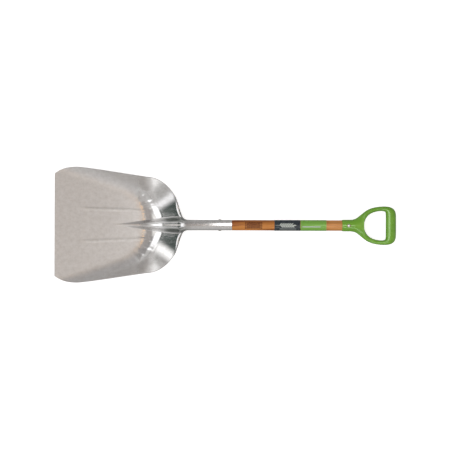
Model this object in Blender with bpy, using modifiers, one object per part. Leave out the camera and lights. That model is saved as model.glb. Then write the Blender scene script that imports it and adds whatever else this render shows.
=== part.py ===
"""Grain scoop shovel: a stamped aluminium scoop on a hardwood shaft with a moulded D-grip.

Everything is modelled in the tool's own frame, in metres. The shaft runs along X, x grows from
the scoop's leading edge towards the grip, Y is across, Z is up out of the scoop, and the shaft's
axis is the line y = z = 0. At the end an empty lays the whole tool on the ground, where it rests
on the scoop's heel and on the grip.
"""

import math

import bmesh
import bpy
from mathutils import Matrix, Vector

# Fits
GAP = 0.0003  # clearance between pieces that touch

# Scoop outline, seen square to the shaft
LEADING_HALF_WIDTH = 0.171
WIDEST_HALF_WIDTH = 0.1925
WIDEST_AT = 0.072
SHOULDER_HALF_WIDTH = 0.158
SHOULDER_AT = 0.318
SIDE_TAPER = 0.135  # how much the side comes in, per unit of length
SHOULDER_TURN = 0.094  # from where the side starts to turn in, to the start of the neck fillet
NECK_FILLET = 0.040  # length of the concave fillet that runs into the socket
NECK_FILLET_HALF_WIDTH = 0.068  # half width where that fillet starts
WING_HALF_WIDTH = 0.033  # half width that is left at the fillet's end, before it curls under

# Scoop depth
SHEET = 0.0023
LIFT = math.radians(18.0)  # angle between the scoop's floor and the shaft
FLOOR_END = 0.290  # where the flat floor ends on the centre line
FLOOR_DEPTH = 0.072  # from the shaft's axis down to the floor's end
FLOOR_LEADING_HALF_WIDTH = 0.1795
FLOOR_TAPER = 0.34  # how much narrower the flat floor gets, per unit of length
FLOOR_CORNER = 0.060  # corner radius of the flat floor
BACK_BEND = 0.062  # plan width of the bend from the floor to the back wall
SIDE_BEND = 0.050
BACK_SLOPE = math.radians(48.0)  # the walls, against the floor
SIDE_SLOPE = math.radians(54.0)
CORNER_EASE = math.radians(7.0)  # how much flatter the walls are round the corners
NECK_BLEND = 0.030  # how far from the neck's level the back wall starts to bend into it
WING_SLOPE = 0.35  # how fast the wings beside the neck climb outwards

# Stamped ribs
FROG_TIP = 0.185  # where the raised centre ridge starts
FROG_FULL = 0.365  # where it has its full height
FROG_HEIGHT = 0.022
FROG_HALF_WIDTH = 0.029
FROG_LEAST_HALF_WIDTH = 0.004
RIB_START = 0.078
RIB_END = 0.325
RIB_FADE = 0.030
RIB_FRONT_OFFSET = 0.055
RIB_BACK_OFFSET = 0.047
RIB_HALF_WIDTH = 0.0055
RIB_HEIGHT = 0.0018

# Shaft
SHAFT_RADIUS = 0.0175
SHAFT_BARE = 0.368  # from the socket's end to the grip's mouth
SHAFT_CHAMFER = 0.001
TENON_CHAMFER = 0.003
TENON_INSET = 0.006  # from the start of the finished tube to the tenon's end

# Socket, rolled from the same sheet
SOCKET_STEP = 0.0001  # how far the tube stands out past the shaft
SOCKET_LENGTH = 0.138
SEAM_GAP = 0.0016
CURL_LENGTH = 0.050  # from where the edges start to curl under to the finished tube

# Grip
GRIP_NECK_WALL = 0.0017
GRIP_NECK_LENGTH = 0.037
BORE_END_MARGIN = 0.001  # the bore stops this far before the neck starts to flare
GRIP_CROTCH = 0.072  # from the grip's mouth to the near side of the hand opening
GRIP_LENGTH = 0.180
GRIP_HALF_WIDTH = 0.0641
GRIP_BAR = 0.034  # across the bar that the hand holds
ARM_WIDTH = 0.0148
ARM_THICKNESS = 0.025

# Rivets
RIVET_RADIUS = 0.0030
RIVET_HEAD_RADIUS = 0.0052
RIVET_HEAD_HEIGHT = 0.0026
SOCKET_RIVET_INSET = 0.040  # from the socket's end
GRIP_RIVET_INSET = 0.022  # from the grip's mouth
RIVET_RECESS_MARGIN = 0.0010  # round each head, in the recess in the grip's neck
RIVET_RECESS_DEPTH = 0.0020

# Labels wrapped round the shaft
LABEL_THICKNESS = 0.0003
DARK_LABEL_INSET = 0.142  # from the socket's end
DARK_LABEL_LENGTH = 0.086
LABEL_SPACE = 0.0012
GREEN_LABEL_LENGTH = 0.086

# Sizes and places that follow from the ones above
SOCKET_RADIUS = SHAFT_RADIUS + SOCKET_STEP
GRIP_NECK_RADIUS = SHAFT_RADIUS + GAP + GRIP_NECK_WALL
GRIP_BORE_DEPTH = GRIP_NECK_LENGTH - BORE_END_MARGIN
RIVET_RECESS_RADIUS = RIVET_HEAD_RADIUS + RIVET_RECESS_MARGIN
FILLET_AT = SHOULDER_AT + SHOULDER_TURN
NECK_AT = FILLET_AT + NECK_FILLET
SOCKET_END = NECK_AT + SOCKET_LENGTH
GRIP_MOUTH = SOCKET_END + SHAFT_BARE
SOCKET_RIVET_AT = SOCKET_END - SOCKET_RIVET_INSET
GRIP_RIVET_AT = GRIP_MOUTH + GRIP_RIVET_INSET

# Mesh
ROUND_STEPS = 48
FROG_COLUMNS = 8  # columns of the sheet on each half of the centre ridge
RIB_COLUMN = 11  # the column on the crest of a side rib
EDGE_COLUMN = 18  # the column on the sheet's edge
FULL_TURN = 2 * math.pi

COLLECTION = bpy.data.collections.new("grain_scoop_shovel")
CUTTERS = bpy.data.collections.new("cutters")


def clear_scene():
    for obj in list(bpy.data.objects):
        bpy.data.objects.remove(obj)
    bpy.context.scene.collection.children.link(COLLECTION)
    bpy.context.scene.collection.children.link(CUTTERS)


def smooth(low, high, value):
    """0 below low, 1 above high, and a smooth step between them."""
    t = min(1.0, max(0.0, (value - low) / (high - low)))
    return t * t * (3 - 2 * t)


def lerp(a, b, t):
    return a + (b - a) * t


def bezier(points, t):
    """A point of the cubic Bezier curve with these four control points."""
    a, b, c, d = (Vector(p) for p in points)
    u = 1 - t
    return a * u**3 + b * 3 * u * u * t + c * 3 * u * t * t + d * t**3


def material(name, colour, roughness, metallic=0.0):
    made = bpy.data.materials.new(name)
    made.use_nodes = True
    shader = made.node_tree.nodes["Principled BSDF"]
    shader.inputs["Base Color"].default_value = (*colour, 1.0)
    shader.inputs["Roughness"].default_value = roughness
    shader.inputs["Metallic"].default_value = metallic
    return made


def add_object(name, mesh, surface, collection=COLLECTION):
    obj = bpy.data.objects.new(name, mesh)
    collection.objects.link(obj)
    if surface:
        mesh.materials.append(surface)
    return obj


def mesh_from(name, bm):
    mesh = bpy.data.meshes.new(name)
    bm.to_mesh(mesh)
    bm.free()
    return mesh


def shade_round(obj, angle=math.radians(35)):
    obj.data.shade_smooth()
    obj.data.set_sharp_from_angle(angle=angle)


def hide_helper(obj):
    obj.hide_render = True
    obj.display_type = "WIRE"


def boolean(obj, other, operation):
    made = obj.modifiers.new(f"{operation.lower()} {other.name}", "BOOLEAN")
    made.operation = operation
    made.object = other
    made.solver = "EXACT"


def rod_cutter(name, radius, length, centre, direction):
    """A cylinder along direction, used only to cut."""
    bm = bmesh.new()
    bmesh.ops.create_cone(
        bm, cap_ends=True, segments=ROUND_STEPS, radius1=radius, radius2=radius, depth=length
    )
    turn = Vector((0, 0, 1)).rotation_difference(Vector(direction)).to_matrix().to_4x4()
    bm.transform(Matrix.Translation(centre) @ turn)
    obj = add_object(name, mesh_from(name, bm), None, CUTTERS)
    hide_helper(obj)
    return obj


def turned(name, profile, surface, collection=COLLECTION, closed=False):
    """A profile of (distance along, radius) points, turned round its own X axis.

    The outer points run towards +X. A Screw about X faces outwards when they run back, so the
    points are added in reverse.
    """
    bm = bmesh.new()
    verts = [bm.verts.new((along, 0, radius)) for along, radius in reversed(profile)]
    pairs = list(zip(verts, verts[1:]))
    if closed:
        pairs.append((verts[-1], verts[0]))
    for a, b in pairs:
        bm.edges.new((a, b))
    obj = add_object(name, mesh_from(name, bm), surface, collection)
    screw = obj.modifiers.new("turn", "SCREW")
    screw.axis = "X"
    screw.angle = FULL_TURN
    screw.steps = ROUND_STEPS
    screw.render_steps = ROUND_STEPS
    screw.use_merge_vertices = True
    screw.merge_threshold = 1e-5
    screw.use_smooth_shade = True
    return obj


# ---------------------------------------------------------------- scoop


def outline_curves():
    """The sheet's edge from the leading corner to the neck, as Bezier curves in plan."""
    side = Vector((1, -SIDE_TAPER)).normalized()
    ahead = Vector((1, 0))
    corner = Vector((0, LEADING_HALF_WIDTH))
    widest = Vector((WIDEST_AT, WIDEST_HALF_WIDTH))
    shoulder = Vector((SHOULDER_AT, SHOULDER_HALF_WIDTH))
    fillet = Vector((FILLET_AT, NECK_FILLET_HALF_WIDTH))
    neck = Vector((NECK_AT, WING_HALF_WIDTH))
    steep = Vector((1, -3)).normalized()
    front_rise = Vector((1, 0.83)).normalized()
    return [
        (corner, corner + front_rise * WIDEST_AT * 0.28, widest - ahead * WIDEST_AT * 0.52, widest),
        (
            widest,
            widest + ahead * (SHOULDER_AT - WIDEST_AT) * 0.1,
            shoulder - side * (SHOULDER_AT - WIDEST_AT) * 0.4,
            shoulder,
        ),
        (
            shoulder,
            shoulder + side * SHOULDER_TURN * 0.48,
            fillet - steep * SHOULDER_TURN * 0.44,
            fillet,
        ),
        (fillet, fillet + steep * NECK_FILLET * 0.55, neck - ahead * NECK_FILLET * 0.45, neck),
    ]


def stations():
    """(x, half width) of each row of the sheet, from the leading edge to the socket's end."""
    rows = []
    for curve, steps in zip(outline_curves(), (6, 9, 11, 10)):
        for i in range(steps):
            x, half = bezier(curve, i / steps)
            rows.append((x, half))
    for i in range(5):
        rows.append((lerp(NECK_AT, SOCKET_END, i / 4), WING_HALF_WIDTH))
    return rows


def floor_height(x):
    return -FLOOR_DEPTH + (FLOOR_END - x) * math.tan(LIFT)


def wall_rise(x, y):
    """How far the bowl's walls stand above the plane of the floor."""
    taper_cos = 1 / math.hypot(1, FLOOR_TAPER)
    past_side = (abs(y) - (FLOOR_LEADING_HALF_WIDTH - FLOOR_TAPER * x)) * taper_cos + FLOOR_CORNER
    past_back = x - FLOOR_END + FLOOR_CORNER
    side, back = max(0.0, past_side), max(0.0, past_back)
    reach = math.hypot(side, back)
    out = reach - FLOOR_CORNER
    if out <= 0:
        return 0.0
    sideways = (side / reach) ** 2
    slope = lerp(BACK_SLOPE, SIDE_SLOPE, sideways) - CORNER_EASE * 4 * sideways * (1 - sideways)
    bend = lerp(BACK_BEND, SIDE_BEND, sideways)
    radius = bend / math.sin(slope)
    if out < bend:
        return radius - math.sqrt(radius * radius - out * out)
    return bend * math.tan(slope / 2) + (out - bend) * math.tan(slope)


def soft_min(a, b, reach):
    """The smaller of the two, rounded where they are within reach of each other."""
    t = max(0.0, reach - abs(a - b)) / reach
    return min(a, b) - t * t * reach / 4


def frog_half_width(x):
    return lerp(FROG_LEAST_HALF_WIDTH, FROG_HALF_WIDTH, smooth(FROG_TIP, FILLET_AT, x))


def rib_offset(x):
    along = (x - RIB_START) / (RIB_END - RIB_START)
    return lerp(RIB_FRONT_OFFSET, RIB_BACK_OFFSET, min(1.0, max(0.0, along)))


def sheet_height(x, y):
    """The top of the pressed sheet at a place in plan."""
    height = floor_height(x) + wall_rise(x, y)
    if x > FLOOR_END:
        neck_level = SOCKET_RADIUS - FROG_HEIGHT + WING_SLOPE * max(0.0, abs(y) - FROG_HALF_WIDTH)
        height = soft_min(height, neck_level, NECK_BLEND)
    across = abs(y) / frog_half_width(x)
    if across < 1:
        height += FROG_HEIGHT * smooth(FROG_TIP, FROG_FULL, x) ** 1.3 * (1 - across * across) ** 1.5
    rib = abs(abs(y) - rib_offset(x)) / RIB_HALF_WIDTH
    if rib < 1:
        fade = smooth(RIB_START, RIB_START + RIB_FADE, x) * (1 - smooth(RIB_END - RIB_FADE, RIB_END, x))
        height += RIB_HEIGHT * fade * (1 - rib * rib)
    return height


def column_places(x, half):
    """Distance from the centre line of each column of the sheet, at a row of that half width."""
    gather = smooth(RIB_END, RIB_END + 0.06, x)
    ridge = min(frog_half_width(x) + 0.012 * (1 - gather), half * 0.6)
    rib = lerp(rib_offset(x), lerp(ridge, half, 0.35), gather)
    spread = lerp(RIB_HALF_WIDTH, (half - ridge) * 0.09, gather)
    knots = [
        (0, 0.0),
        (FROG_COLUMNS, ridge),
        (RIB_COLUMN - 1, rib - spread),
        (RIB_COLUMN, rib),
        (RIB_COLUMN + 1, rib + spread),
        (EDGE_COLUMN, half),
    ]
    places = []
    for column in range(EDGE_COLUMN + 1):
        for (c0, y0), (c1, y1) in zip(knots, knots[1:]):
            if c0 <= column <= c1:
                places.append(lerp(y0, y1, (column - c0) / (c1 - c0)))
                break
    return places


def tube_angles():
    """Angle from the top of the socket of each column of the sheet, once it is rolled up."""
    side = math.radians(100)
    edge = math.pi - SEAM_GAP / 2 / SOCKET_RADIUS
    return [
        side * c / FROG_COLUMNS
        if c <= FROG_COLUMNS
        else lerp(side, edge, (c - FROG_COLUMNS) / (EDGE_COLUMN - FROG_COLUMNS))
        for c in range(EDGE_COLUMN + 1)
    ]


def sheet_points():
    """The rows of points of the sheet's outer face: a pressed pan that curls up into a tube."""
    angles = tube_angles()
    rows = []
    for x, half in stations():
        curl = smooth(NECK_AT - CURL_LENGTH, NECK_AT, x)
        right = []
        for place, angle in zip(column_places(x, half), angles):
            height = sheet_height(x, place)
            if curl > 0:
                # The edge swings under round the shaft's axis, and its distance shrinks to the tube's.
                turned_to = lerp(math.atan2(place, height), angle, curl)
                distance = lerp(math.hypot(place, height), SOCKET_RADIUS, curl**1.3)
                place, height = distance * math.sin(turned_to), distance * math.cos(turned_to)
            right.append(Vector((x, place, height)))
        left = [Vector((p.x, -p.y, p.z)) for p in right[:0:-1]]
        rows.append(left + right)
    return rows


def make_scoop(surface):
    rows = sheet_points()
    columns = len(rows[0])
    bm = bmesh.new()
    bmesh.ops.create_grid(bm, x_segments=columns - 1, y_segments=len(rows) - 1, size=1)
    bm.verts.ensure_lookup_table()
    # The grid's points run column by column along its X, row by row along its Y.
    for index, vert in enumerate(bm.verts):
        vert.co = rows[index // columns][index % columns]
    bmesh.ops.recalc_face_normals(bm, faces=bm.faces)
    if sum(face.normal.z * face.calc_area() for face in bm.faces) < 0:
        bmesh.ops.reverse_faces(bm, faces=bm.faces)
    scoop = add_object("scoop_blade", mesh_from("scoop_blade", bm), surface)
    shade_round(scoop, math.radians(50))
    shell = scoop.modifiers.new("sheet", "SOLIDIFY")
    shell.thickness = SHEET
    shell.offset = -1
    shell.use_even_offset = True
    boolean(
        scoop,
        rod_cutter(
            "socket_rivet_hole", RIVET_RADIUS + GAP, 4 * SOCKET_RADIUS, (SOCKET_RIVET_AT, 0, 0), (0, 1, 0)
        ),
        "DIFFERENCE",
    )
    return scoop


# ---------------------------------------------------------------- shaft and labels


def make_shaft(surface):
    tenon = SOCKET_RADIUS - SHEET - 2 * GAP
    start = NECK_AT + TENON_INSET
    shoulder = SOCKET_END + GAP
    end = GRIP_MOUTH + GRIP_BORE_DEPTH - GAP
    profile = [
        (start, 0),
        (start, tenon - TENON_CHAMFER),
        (start + TENON_CHAMFER, tenon),
        (shoulder, tenon),
        (shoulder, SHAFT_RADIUS - SHAFT_CHAMFER),
        (shoulder + SHAFT_CHAMFER, SHAFT_RADIUS),
        (end - SHAFT_CHAMFER, SHAFT_RADIUS),
        (end, SHAFT_RADIUS - SHAFT_CHAMFER),
        (end, 0),
    ]
    shaft = turned("handle_shaft", profile, surface)
    hole = RIVET_RADIUS + GAP
    across = rod_cutter(
        "shaft_socket_hole", hole, 4 * SHAFT_RADIUS, (SOCKET_RIVET_AT, 0, 0), (0, 1, 0)
    )
    upright = rod_cutter("shaft_grip_hole", hole, 4 * SHAFT_RADIUS, (GRIP_RIVET_AT, 0, 0), (0, 0, 1))
    boolean(shaft, across, "DIFFERENCE")
    boolean(shaft, upright, "DIFFERENCE")
    return shaft


def make_label(name, start, length, surface):
    inner = SHAFT_RADIUS + GAP
    outer = inner + LABEL_THICKNESS
    end = start + length
    profile = [(start, inner), (start, outer), (end, outer), (end, inner)]
    return turned(name, profile, surface, closed=True)


# ---------------------------------------------------------------- grip


def grip_rings():
    """Outer and inner edge in plan and half thickness, round one half of the D.

    The first rings are half of the neck and of the web behind it, whose inner edge is the centre
    line. The rest go up the arm, round the corner and back along the bar to the centre line.
    """
    arm = ARM_THICKNESS / 2
    bar = GRIP_BAR / 2
    inner_half = GRIP_HALF_WIDTH - ARM_WIDTH
    flare = GRIP_CROTCH - GRIP_NECK_LENGTH
    eye = GRIP_LENGTH - GRIP_BAR - GRIP_CROTCH  # the hand opening along the shaft
    neck = [
        ((0, GRIP_NECK_RADIUS), (0, 0), GRIP_NECK_RADIUS),
        ((GRIP_NECK_LENGTH * 0.5, GRIP_NECK_RADIUS), (GRIP_NECK_LENGTH * 0.5, 0), GRIP_NECK_RADIUS),
        ((GRIP_NECK_LENGTH, GRIP_NECK_RADIUS), (GRIP_NECK_LENGTH, 0), GRIP_NECK_RADIUS),
    ]
    crotch_outer = GRIP_HALF_WIDTH * 0.62
    web = [
        (
            (GRIP_NECK_LENGTH + flare * along, lerp(GRIP_NECK_RADIUS, crotch_outer, widen)),
            (GRIP_NECK_LENGTH + flare * (along + 0.14 * widen), 0),
            lerp(GRIP_NECK_RADIUS, arm * 1.15, along),
        )
        for along, widen in ((0.32, 0.25), (0.58, 0.61), (0.86, 1.0))
    ]
    first = GRIP_CROTCH
    arms = [
        ((first + eye * 0.04, GRIP_HALF_WIDTH * 0.72), (first + eye * 0.045, inner_half * 0.34), arm * 1.1),
        ((first + eye * 0.16, GRIP_HALF_WIDTH * 0.82), (first + eye * 0.16, inner_half * 0.64), arm),
        ((first + eye * 0.34, GRIP_HALF_WIDTH * 0.915), (first + eye * 0.33, inner_half * 0.84), arm),
        ((first + eye * 0.55, GRIP_HALF_WIDTH * 0.97), (first + eye * 0.54, inner_half * 0.95), arm),
        ((first + eye * 0.76, GRIP_HALF_WIDTH), (first + eye * 0.75, inner_half), arm * 1.05),
    ]
    inside, outside = GRIP_LENGTH - GRIP_BAR, GRIP_LENGTH
    corner = [
        ((inside - eye * 0.02, GRIP_HALF_WIDTH * 1.01), (inside - eye * 0.08, inner_half * 0.985), lerp(arm, bar, 0.5)),
        ((inside + GRIP_BAR * 0.45, GRIP_HALF_WIDTH * 0.985), (inside - eye * 0.01, inner_half * 0.93), bar * 0.97),
        ((inside + GRIP_BAR * 0.83, GRIP_HALF_WIDTH * 0.86), (inside, inner_half * 0.80), bar),
        ((outside, GRIP_HALF_WIDTH * 0.66), (inside, inner_half * 0.64), bar),
    ]
    ends = [
        ((outside, GRIP_HALF_WIDTH * 0.36), (inside, GRIP_HALF_WIDTH * 0.36), bar),
        ((outside, 0), (inside, 0), bar),
    ]
    return neck + web + arms + corner + ends, len(neck) + len(web)


RING = 12  # points round each ring of the grip: 7 on the outer side, 5 on the inner
CAGE_SPREAD = 3 / (2 + math.cos(FULL_TURN / RING))  # a subdivided ring shrinks by this much


def grip_ring(outer, inner, thick, is_half):
    """The points of one ring: half of a round neck, or a whole rounded section of an arm."""
    outer, inner = Vector((*outer, 0)), Vector((*inner, 0))
    if is_half:
        outer = inner.lerp(outer, CAGE_SPREAD)
    else:
        middle = inner.lerp(outer, 0.5)
        outer, inner = middle.lerp(outer, CAGE_SPREAD), middle.lerp(inner, CAGE_SPREAD)
    thick *= CAGE_SPREAD
    points = []
    for i in range(RING):
        angle = -math.pi / 2 + math.pi * i / 6
        out, up = math.cos(angle), math.sin(angle)
        if is_half:
            flat = inner.lerp(outer, max(0.0, out))
        else:
            flat = inner.lerp(outer, 0.5 + 0.5 * math.copysign(abs(out) ** 0.85, out))
            up = math.copysign(abs(up) ** 0.85, up)
        points.append(flat + Vector((GRIP_MOUTH, 0, thick * up)))
    return points


def make_grip(surface):
    rings, halves = grip_rings()
    bm = bmesh.new()
    made = [
        [bm.verts.new(p) for p in grip_ring(*ring, is_half=i < halves)] for i, ring in enumerate(rings)
    ]
    for i, (ring, following) in enumerate(zip(made, made[1:])):
        # The inner side of the neck and web lies on the mirror plane and stays open.
        sides = range(6) if i + 1 < halves else range(RING)
        for k in sides:
            n = (k + 1) % RING
            bm.faces.new((ring[k], following[k], following[n], ring[n]))
    mouth = made[0]
    for k in range(3):
        bm.faces.new((mouth[k], mouth[k + 1], mouth[5 - k], mouth[6 - k]) if k < 2 else mouth[2:5])
    bmesh.ops.delete(bm, geom=[v for v in bm.verts if not v.link_faces])
    bmesh.ops.recalc_face_normals(bm, faces=bm.faces)
    crease = bm.edges.layers.float.new("crease_edge")
    for edge in bm.edges:
        if all(abs(v.co.x - GRIP_MOUTH) < 1e-6 for v in edge.verts):
            edge[crease] = 1.0
    grip = add_object("d_grip", mesh_from("d_grip", bm), surface)
    shade_round(grip)
    mirror = grip.modifiers.new("other half", "MIRROR")
    mirror.use_axis = (False, True, False)
    mirror.merge_threshold = 1e-5
    mirror.use_clip = True
    rounding = grip.modifiers.new("rounding", "SUBSURF")
    rounding.levels = 1
    rounding.render_levels = 1
    bore = GRIP_BORE_DEPTH + GAP
    overshoot = 0.01
    bore_middle = GRIP_MOUTH + (bore - overshoot) / 2
    socket = rod_cutter("grip_bore", SHAFT_RADIUS + GAP, bore + overshoot, (bore_middle, 0, 0), (1, 0, 0))
    hole = rod_cutter(
        "grip_rivet_hole", RIVET_RADIUS + GAP, 4 * GRIP_NECK_RADIUS, (GRIP_RIVET_AT, 0, 0), (0, 0, 1)
    )
    boolean(grip, socket, "DIFFERENCE")
    boolean(grip, hole, "DIFFERENCE")
    for side in (-1, 1):
        recess_middle = side * (GRIP_NECK_RADIUS - RIVET_RECESS_DEPTH + overshoot / 2)
        recess = rod_cutter(
            f"rivet_recess_{'top' if side > 0 else 'bottom'}",
            RIVET_RECESS_RADIUS,
            overshoot,
            (GRIP_RIVET_AT, 0, recess_middle),
            (0, 0, 1),
        )
        boolean(grip, recess, "DIFFERENCE")
    return grip


# ---------------------------------------------------------------- rivets


def dome_profile(seat):
    """A domed head from its rim, at that distance along the rivet, up to its crown."""
    steps = 5
    quarter = [math.pi / 2 * i / steps for i in range(steps)]
    dome = [
        (seat + RIVET_HEAD_HEIGHT * math.sin(angle), RIVET_HEAD_RADIUS * math.cos(angle))
        for angle in quarter
    ]
    return dome + [(seat + RIVET_HEAD_HEIGHT, 0)]


def mirrored(profile):
    return [(-along, radius) for along, radius in reversed(profile)]


def make_grip_rivet(surface):
    """A through rivet, upright, whose heads sit on the flat bottoms of the grip's two recesses."""
    seat = GRIP_NECK_RADIUS - RIVET_RECESS_DEPTH + GAP
    half = [(seat, RIVET_RADIUS)] + dome_profile(seat)
    rivet = turned("grip_rivet", mirrored(half) + half, surface)
    rivet.location = (GRIP_RIVET_AT, 0, 0)
    rivet.rotation_euler = (0, -math.pi / 2, 0)
    return rivet


def make_socket_rivet(surface):
    """A through rivet, across the socket, whose heads are formed down onto the round tube."""
    seat = SOCKET_RADIUS + GAP
    rim = math.sqrt(seat * seat - RIVET_HEAD_RADIUS**2)
    dome = dome_profile(rim)
    heads = turned("socket_rivet_heads", mirrored(dome) + dome, None, CUTTERS)
    hide_helper(heads)
    saddle = rod_cutter("socket_rivet_saddle", seat, 4 * RIVET_HEAD_RADIUS, (0, 0, 0), (0, 1, 0))
    boolean(heads, saddle, "DIFFERENCE")
    inside_head = (seat + rim + RIVET_HEAD_HEIGHT) / 2
    half_shank = [(inside_head, RIVET_RADIUS), (inside_head, 0)]
    rivet = turned("socket_rivet", mirrored(half_shank) + half_shank, surface)
    boolean(rivet, heads, "UNION")
    # It is modelled along X with the tube along Y, then turned about Z into its place.
    for obj in (rivet, heads, saddle):
        obj.location = (SOCKET_RIVET_AT, 0, 0)
        obj.rotation_euler = (0, 0, math.pi / 2)
    return rivet


# ---------------------------------------------------------------- whole tool


def evaluated_points(obj):
    graph = bpy.context.evaluated_depsgraph_get()
    evaluated = obj.evaluated_get(graph)
    mesh = evaluated.to_mesh()
    points = [evaluated.matrix_world @ v.co for v in mesh.vertices]
    evaluated.to_mesh_clear()
    return points


def lay_on_ground(scoop, grip, everything):
    """Turns and moves the tool so that its heel and its grip rest on z = 0, centred over the origin."""
    bpy.context.view_layer.update()
    scoop_points, grip_points = evaluated_points(scoop), evaluated_points(grip)

    def lowest(points, tilt):
        return min(p.z * math.cos(tilt) - p.x * math.sin(tilt) for p in points)

    low, high = math.radians(-20), math.radians(20)
    for _ in range(40):
        tilt = (low + high) / 2
        if lowest(grip_points, tilt) > lowest(scoop_points, tilt):
            low = tilt
        else:
            high = tilt
    turn = Matrix.Rotation(tilt, 4, "Y")
    turned_points = [turn @ p for p in scoop_points + grip_points]
    middle = (min(p.x for p in turned_points) + max(p.x for p in turned_points)) / 2
    ground = min(p.z for p in turned_points)
    holder = bpy.data.objects.new("tool_axis", None)
    COLLECTION.objects.link(holder)
    for obj in everything:
        obj.parent = holder
    holder.matrix_world = Matrix.Translation((-middle, 0, -ground)) @ turn


def main():
    clear_scene()
    aluminium = material("aluminium", (0.78, 0.76, 0.74), 0.35, metallic=1.0)
    hardwood = material("hardwood", (0.48, 0.22, 0.07), 0.45)
    green_plastic = material("green_plastic", (0.16, 0.33, 0.06), 0.4)
    steel = material("rivet_steel", (0.62, 0.62, 0.60), 0.3, metallic=1.0)
    dark_film = material("dark_label_film", (0.03, 0.045, 0.06), 0.3)
    green_film = material("green_label_film", (0.13, 0.35, 0.07), 0.3)

    scoop = make_scoop(aluminium)
    make_shaft(hardwood)
    grip = make_grip(green_plastic)
    make_socket_rivet(steel)
    make_grip_rivet(steel)
    dark_at = SOCKET_END + DARK_LABEL_INSET
    make_label("dark_label", dark_at, DARK_LABEL_LENGTH, dark_film)
    green_at = dark_at + DARK_LABEL_LENGTH + LABEL_SPACE
    make_label("green_label", green_at, GREEN_LABEL_LENGTH, green_film)
    lay_on_ground(scoop, grip, list(COLLECTION.objects) + list(CUTTERS.objects))


main()
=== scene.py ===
import math

import bmesh
import bpy
import numpy as np
from mathutils import Matrix, Vector, noise


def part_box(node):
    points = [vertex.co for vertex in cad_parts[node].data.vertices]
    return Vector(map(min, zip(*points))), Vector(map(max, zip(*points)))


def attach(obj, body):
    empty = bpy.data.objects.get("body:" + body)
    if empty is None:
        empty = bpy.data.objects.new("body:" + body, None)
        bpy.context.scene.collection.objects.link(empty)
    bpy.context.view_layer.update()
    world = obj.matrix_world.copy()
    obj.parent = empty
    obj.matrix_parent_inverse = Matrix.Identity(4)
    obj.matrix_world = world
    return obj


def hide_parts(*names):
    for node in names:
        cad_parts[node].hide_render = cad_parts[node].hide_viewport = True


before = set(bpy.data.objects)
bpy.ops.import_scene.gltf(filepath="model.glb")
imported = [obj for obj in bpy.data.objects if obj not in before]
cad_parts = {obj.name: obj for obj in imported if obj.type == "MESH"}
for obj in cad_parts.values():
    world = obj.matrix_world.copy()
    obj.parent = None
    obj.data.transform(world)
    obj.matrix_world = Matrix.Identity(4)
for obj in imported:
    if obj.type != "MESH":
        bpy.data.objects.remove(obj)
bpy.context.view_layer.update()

scene = bpy.context.scene
scene.view_settings.view_transform = "Standard"


# the tool's own frame: x runs along the shaft from the leading edge, z is up out of the pan

def nodeMiddle(name):
    low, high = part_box(name)
    return (low + high) / 2


# both rivets sit square on the shaft's axis, so they give its line
rivetPlaces = {"socket": 0.550, "grip": 0.980}  # metres from the leading edge, along the shaft
socketRivetMiddle = nodeMiddle("socket_rivet")
gripRivetMiddle = nodeMiddle("grip_rivet")
alongShaft = (gripRivetMiddle - socketRivetMiddle).normalized()
acrossTool = Vector((0, 1, 0))
outOfPan = alongShaft.cross(acrossTool).normalized()
toolOrigin = socketRivetMiddle - alongShaft * rivetPlaces["socket"]
toolToGround = Matrix.Translation(toolOrigin) @ Matrix(
    (alongShaft, acrossTool, outOfPan)
).transposed().to_4x4()
tilt = math.degrees(math.asin(-alongShaft.z))
print("tool frame: origin", [round(v, 4) for v in toolOrigin], "tilt", round(tilt, 2))


# small helpers

def smoothStep(low, high, value):
    t = np.clip((np.asarray(value, float) - low) / (high - low), 0.0, 1.0)
    return t * t * (3 - 2 * t)


def mix(a, b, t):
    return a + (b - a) * t


def bump(centre, reach, value):  # 1 at the centre, 0 beyond reach
    t = np.clip(np.abs(np.asarray(value, float) - centre) / reach, 0.0, 1.0)
    return (1 - t * t) ** 2


def addObject(name, mesh, finish=None):
    made = bpy.data.objects.new(name, mesh)
    scene.collection.objects.link(made)
    if finish:
        mesh.materials.append(finish)
    return made


def meshFrom(bm, name):
    mesh = bpy.data.meshes.new(name)
    bm.to_mesh(mesh)
    bm.free()
    return mesh


def baked(piece):  # the mesh that the piece's modifiers make
    bpy.context.view_layer.update()
    graph = bpy.context.evaluated_depsgraph_get()
    return bpy.data.meshes.new_from_object(piece.evaluated_get(graph))


def settle(piece, replaced, slotName):  # bake the modifiers, lay the piece on the ground, hand it over
    mesh = baked(piece)
    mesh.name = piece.name
    piece.modifiers.clear()
    piece.data = mesh
    mesh.transform(toolToGround)
    mesh.update()
    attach(piece, "root")
    if replaced:
        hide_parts(replaced)
    print("made", piece.name, len(mesh.polygons), "faces")


def node(tree, kind, inputs=None, **settings):
    made = tree.nodes.new(kind)
    for key, value in settings.items():
        setattr(made, key, value)
    for key, value in (inputs or {}).items():
        if isinstance(value, bpy.types.NodeSocket):
            tree.links.new(value, made.inputs[key])
        else:
            made.inputs[key].default_value = value
    return made


def newFinish(name, metallic=0.0):
    finish = bpy.data.materials.new(name)
    finish.use_nodes = True
    shader = finish.node_tree.nodes["Principled BSDF"]
    shader.inputs["Metallic"].default_value = metallic
    return finish, finish.node_tree, shader


def ramp(tree, factor, stops):  # stops: (place, colour or grey)
    made = node(tree, "ShaderNodeValToRGB", {"Fac": factor})
    band = made.color_ramp.elements
    for i, (at, colour) in enumerate(stops):
        shade = (*colour, 1.0) if isinstance(colour, tuple) else (colour, colour, colour, 1.0)
        stop = band[i] if i < 2 else band.new(at)
        stop.position = at
        stop.color = shade
    return made.outputs["Color"]


def sums(tree, operation, a, b=0.0):
    return node(tree, "ShaderNodeMath", {0: a, 1: b}, operation=operation).outputs[0]


def times(tree, a, b):
    return sums(tree, "MULTIPLY", a, b)


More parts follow.
